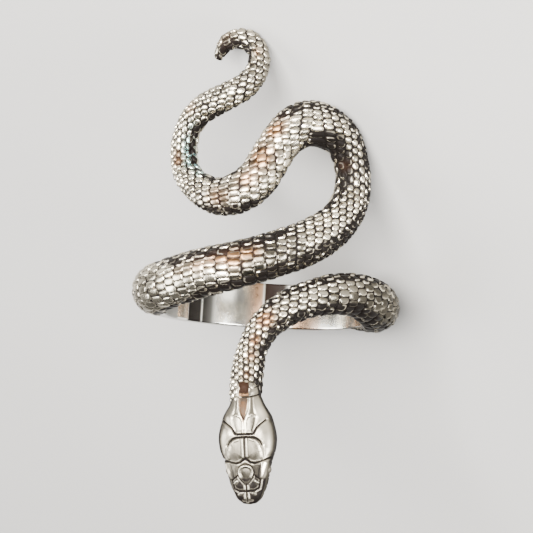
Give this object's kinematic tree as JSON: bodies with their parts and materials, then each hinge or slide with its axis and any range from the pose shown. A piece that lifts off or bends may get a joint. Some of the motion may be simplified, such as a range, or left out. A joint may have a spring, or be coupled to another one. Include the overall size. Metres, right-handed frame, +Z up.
{
  "type": "snake ring",
  "caption": "Finger ring cast as a scaled snake that wraps the finger, with its head and curled tail lying along it and a plain polished band behind.",
  "frame": {"origin": "middle of the bounding box's bottom face", "axes": "+Z up. The ring lies on its side on the bend of its tail, the hook and the rim of its band. The finger hole's axis lies in the XZ plane, 42 degrees below +X toward the tail, and the snake's face looks toward -Y and up."},
  "size_m": [0.0326, 0.0226, 0.0275],
  "materials": {
    "silver": "cast silver, dark oxide in the grooves, crowns worn bright, band polished"
  },
  "bodies": {
    "root": {"snake_ring": "silver"}
  },
  "joints": []
}
